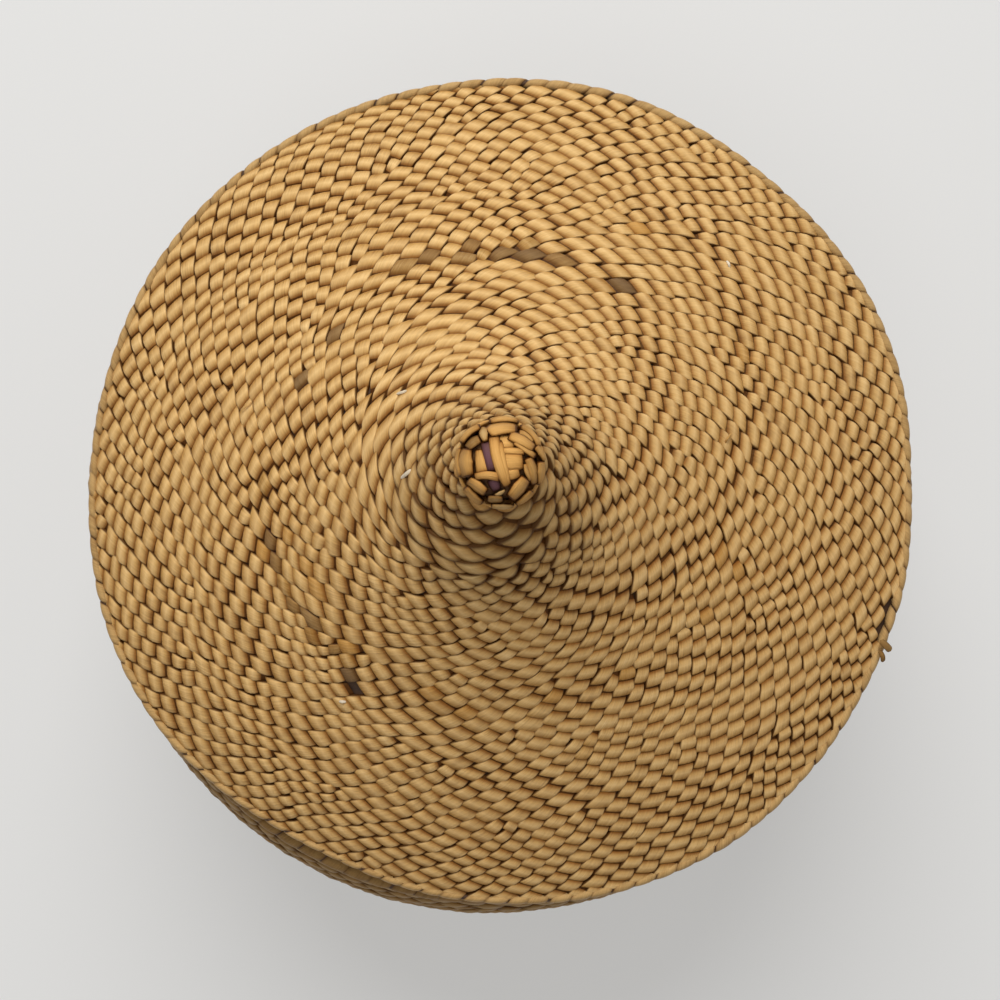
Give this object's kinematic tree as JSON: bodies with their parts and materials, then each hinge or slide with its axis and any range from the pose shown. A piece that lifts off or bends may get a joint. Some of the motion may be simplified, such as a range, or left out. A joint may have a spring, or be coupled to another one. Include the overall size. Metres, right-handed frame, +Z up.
{
  "type": "lidded basket",
  "caption": "Round twined palm-leaf basket with a bulging wall and a loose conical lid that ends in a plaited knob.",
  "frame": {"origin": "middle of the circle that the basket stands on, at the level of the table", "axes": "+Z is up along the basket's axis. +X is the picture's right and +Y the picture's top, the side to which the knob leans."},
  "size_m": [0.2096, 0.2107, 0.1914],
  "materials": {
    "palm_leaf": "dry undyed palm leaf, faintly glossy along its veins, straw to light brown",
    "palm_leaf_pale": "dry undyed palm leaf, paler and smoother, wrapped round the borders",
    "palm_leaf_brown": "golden brown handled palm leaf, slightly glossy",
    "palm_leaf_dyed": "palm leaf dyed a faded violet brown"
  },
  "bodies": {
    "basket": {"base_edge_row": "palm_leaf", "base_weave": "palm_leaf", "base_start": "palm_leaf_pale", "wall_weave": "palm_leaf", "mouth_border": "palm_leaf_pale"},
    "lid": {"lid_border": "palm_leaf_pale", "lid_lower_weave": "palm_leaf", "lid_dyed_rows": "palm_leaf_dyed", "lid_upper_weave": "palm_leaf", "lid_collar": "palm_leaf", "collar_border": "palm_leaf_pale", "knob_stem": "palm_leaf", "knob_core": "palm_leaf_brown", "knob_binding": "palm_leaf_brown", "knob_strip_left": "palm_leaf_dyed", "knob_strip_middle": "palm_leaf_brown", "knob_strip_right": "palm_leaf_brown", "knob_strip_front": "palm_leaf_brown", "knob_strip_cross": "palm_leaf_brown", "knob_strip_rear": "palm_leaf_brown"}
  },
  "joints": [
    {"name": "lid_lift", "type": "slide", "parent": "basket", "child": "lid", "axis": [0, 0, 1], "range_m": [0, 0.14]}
  ]
}
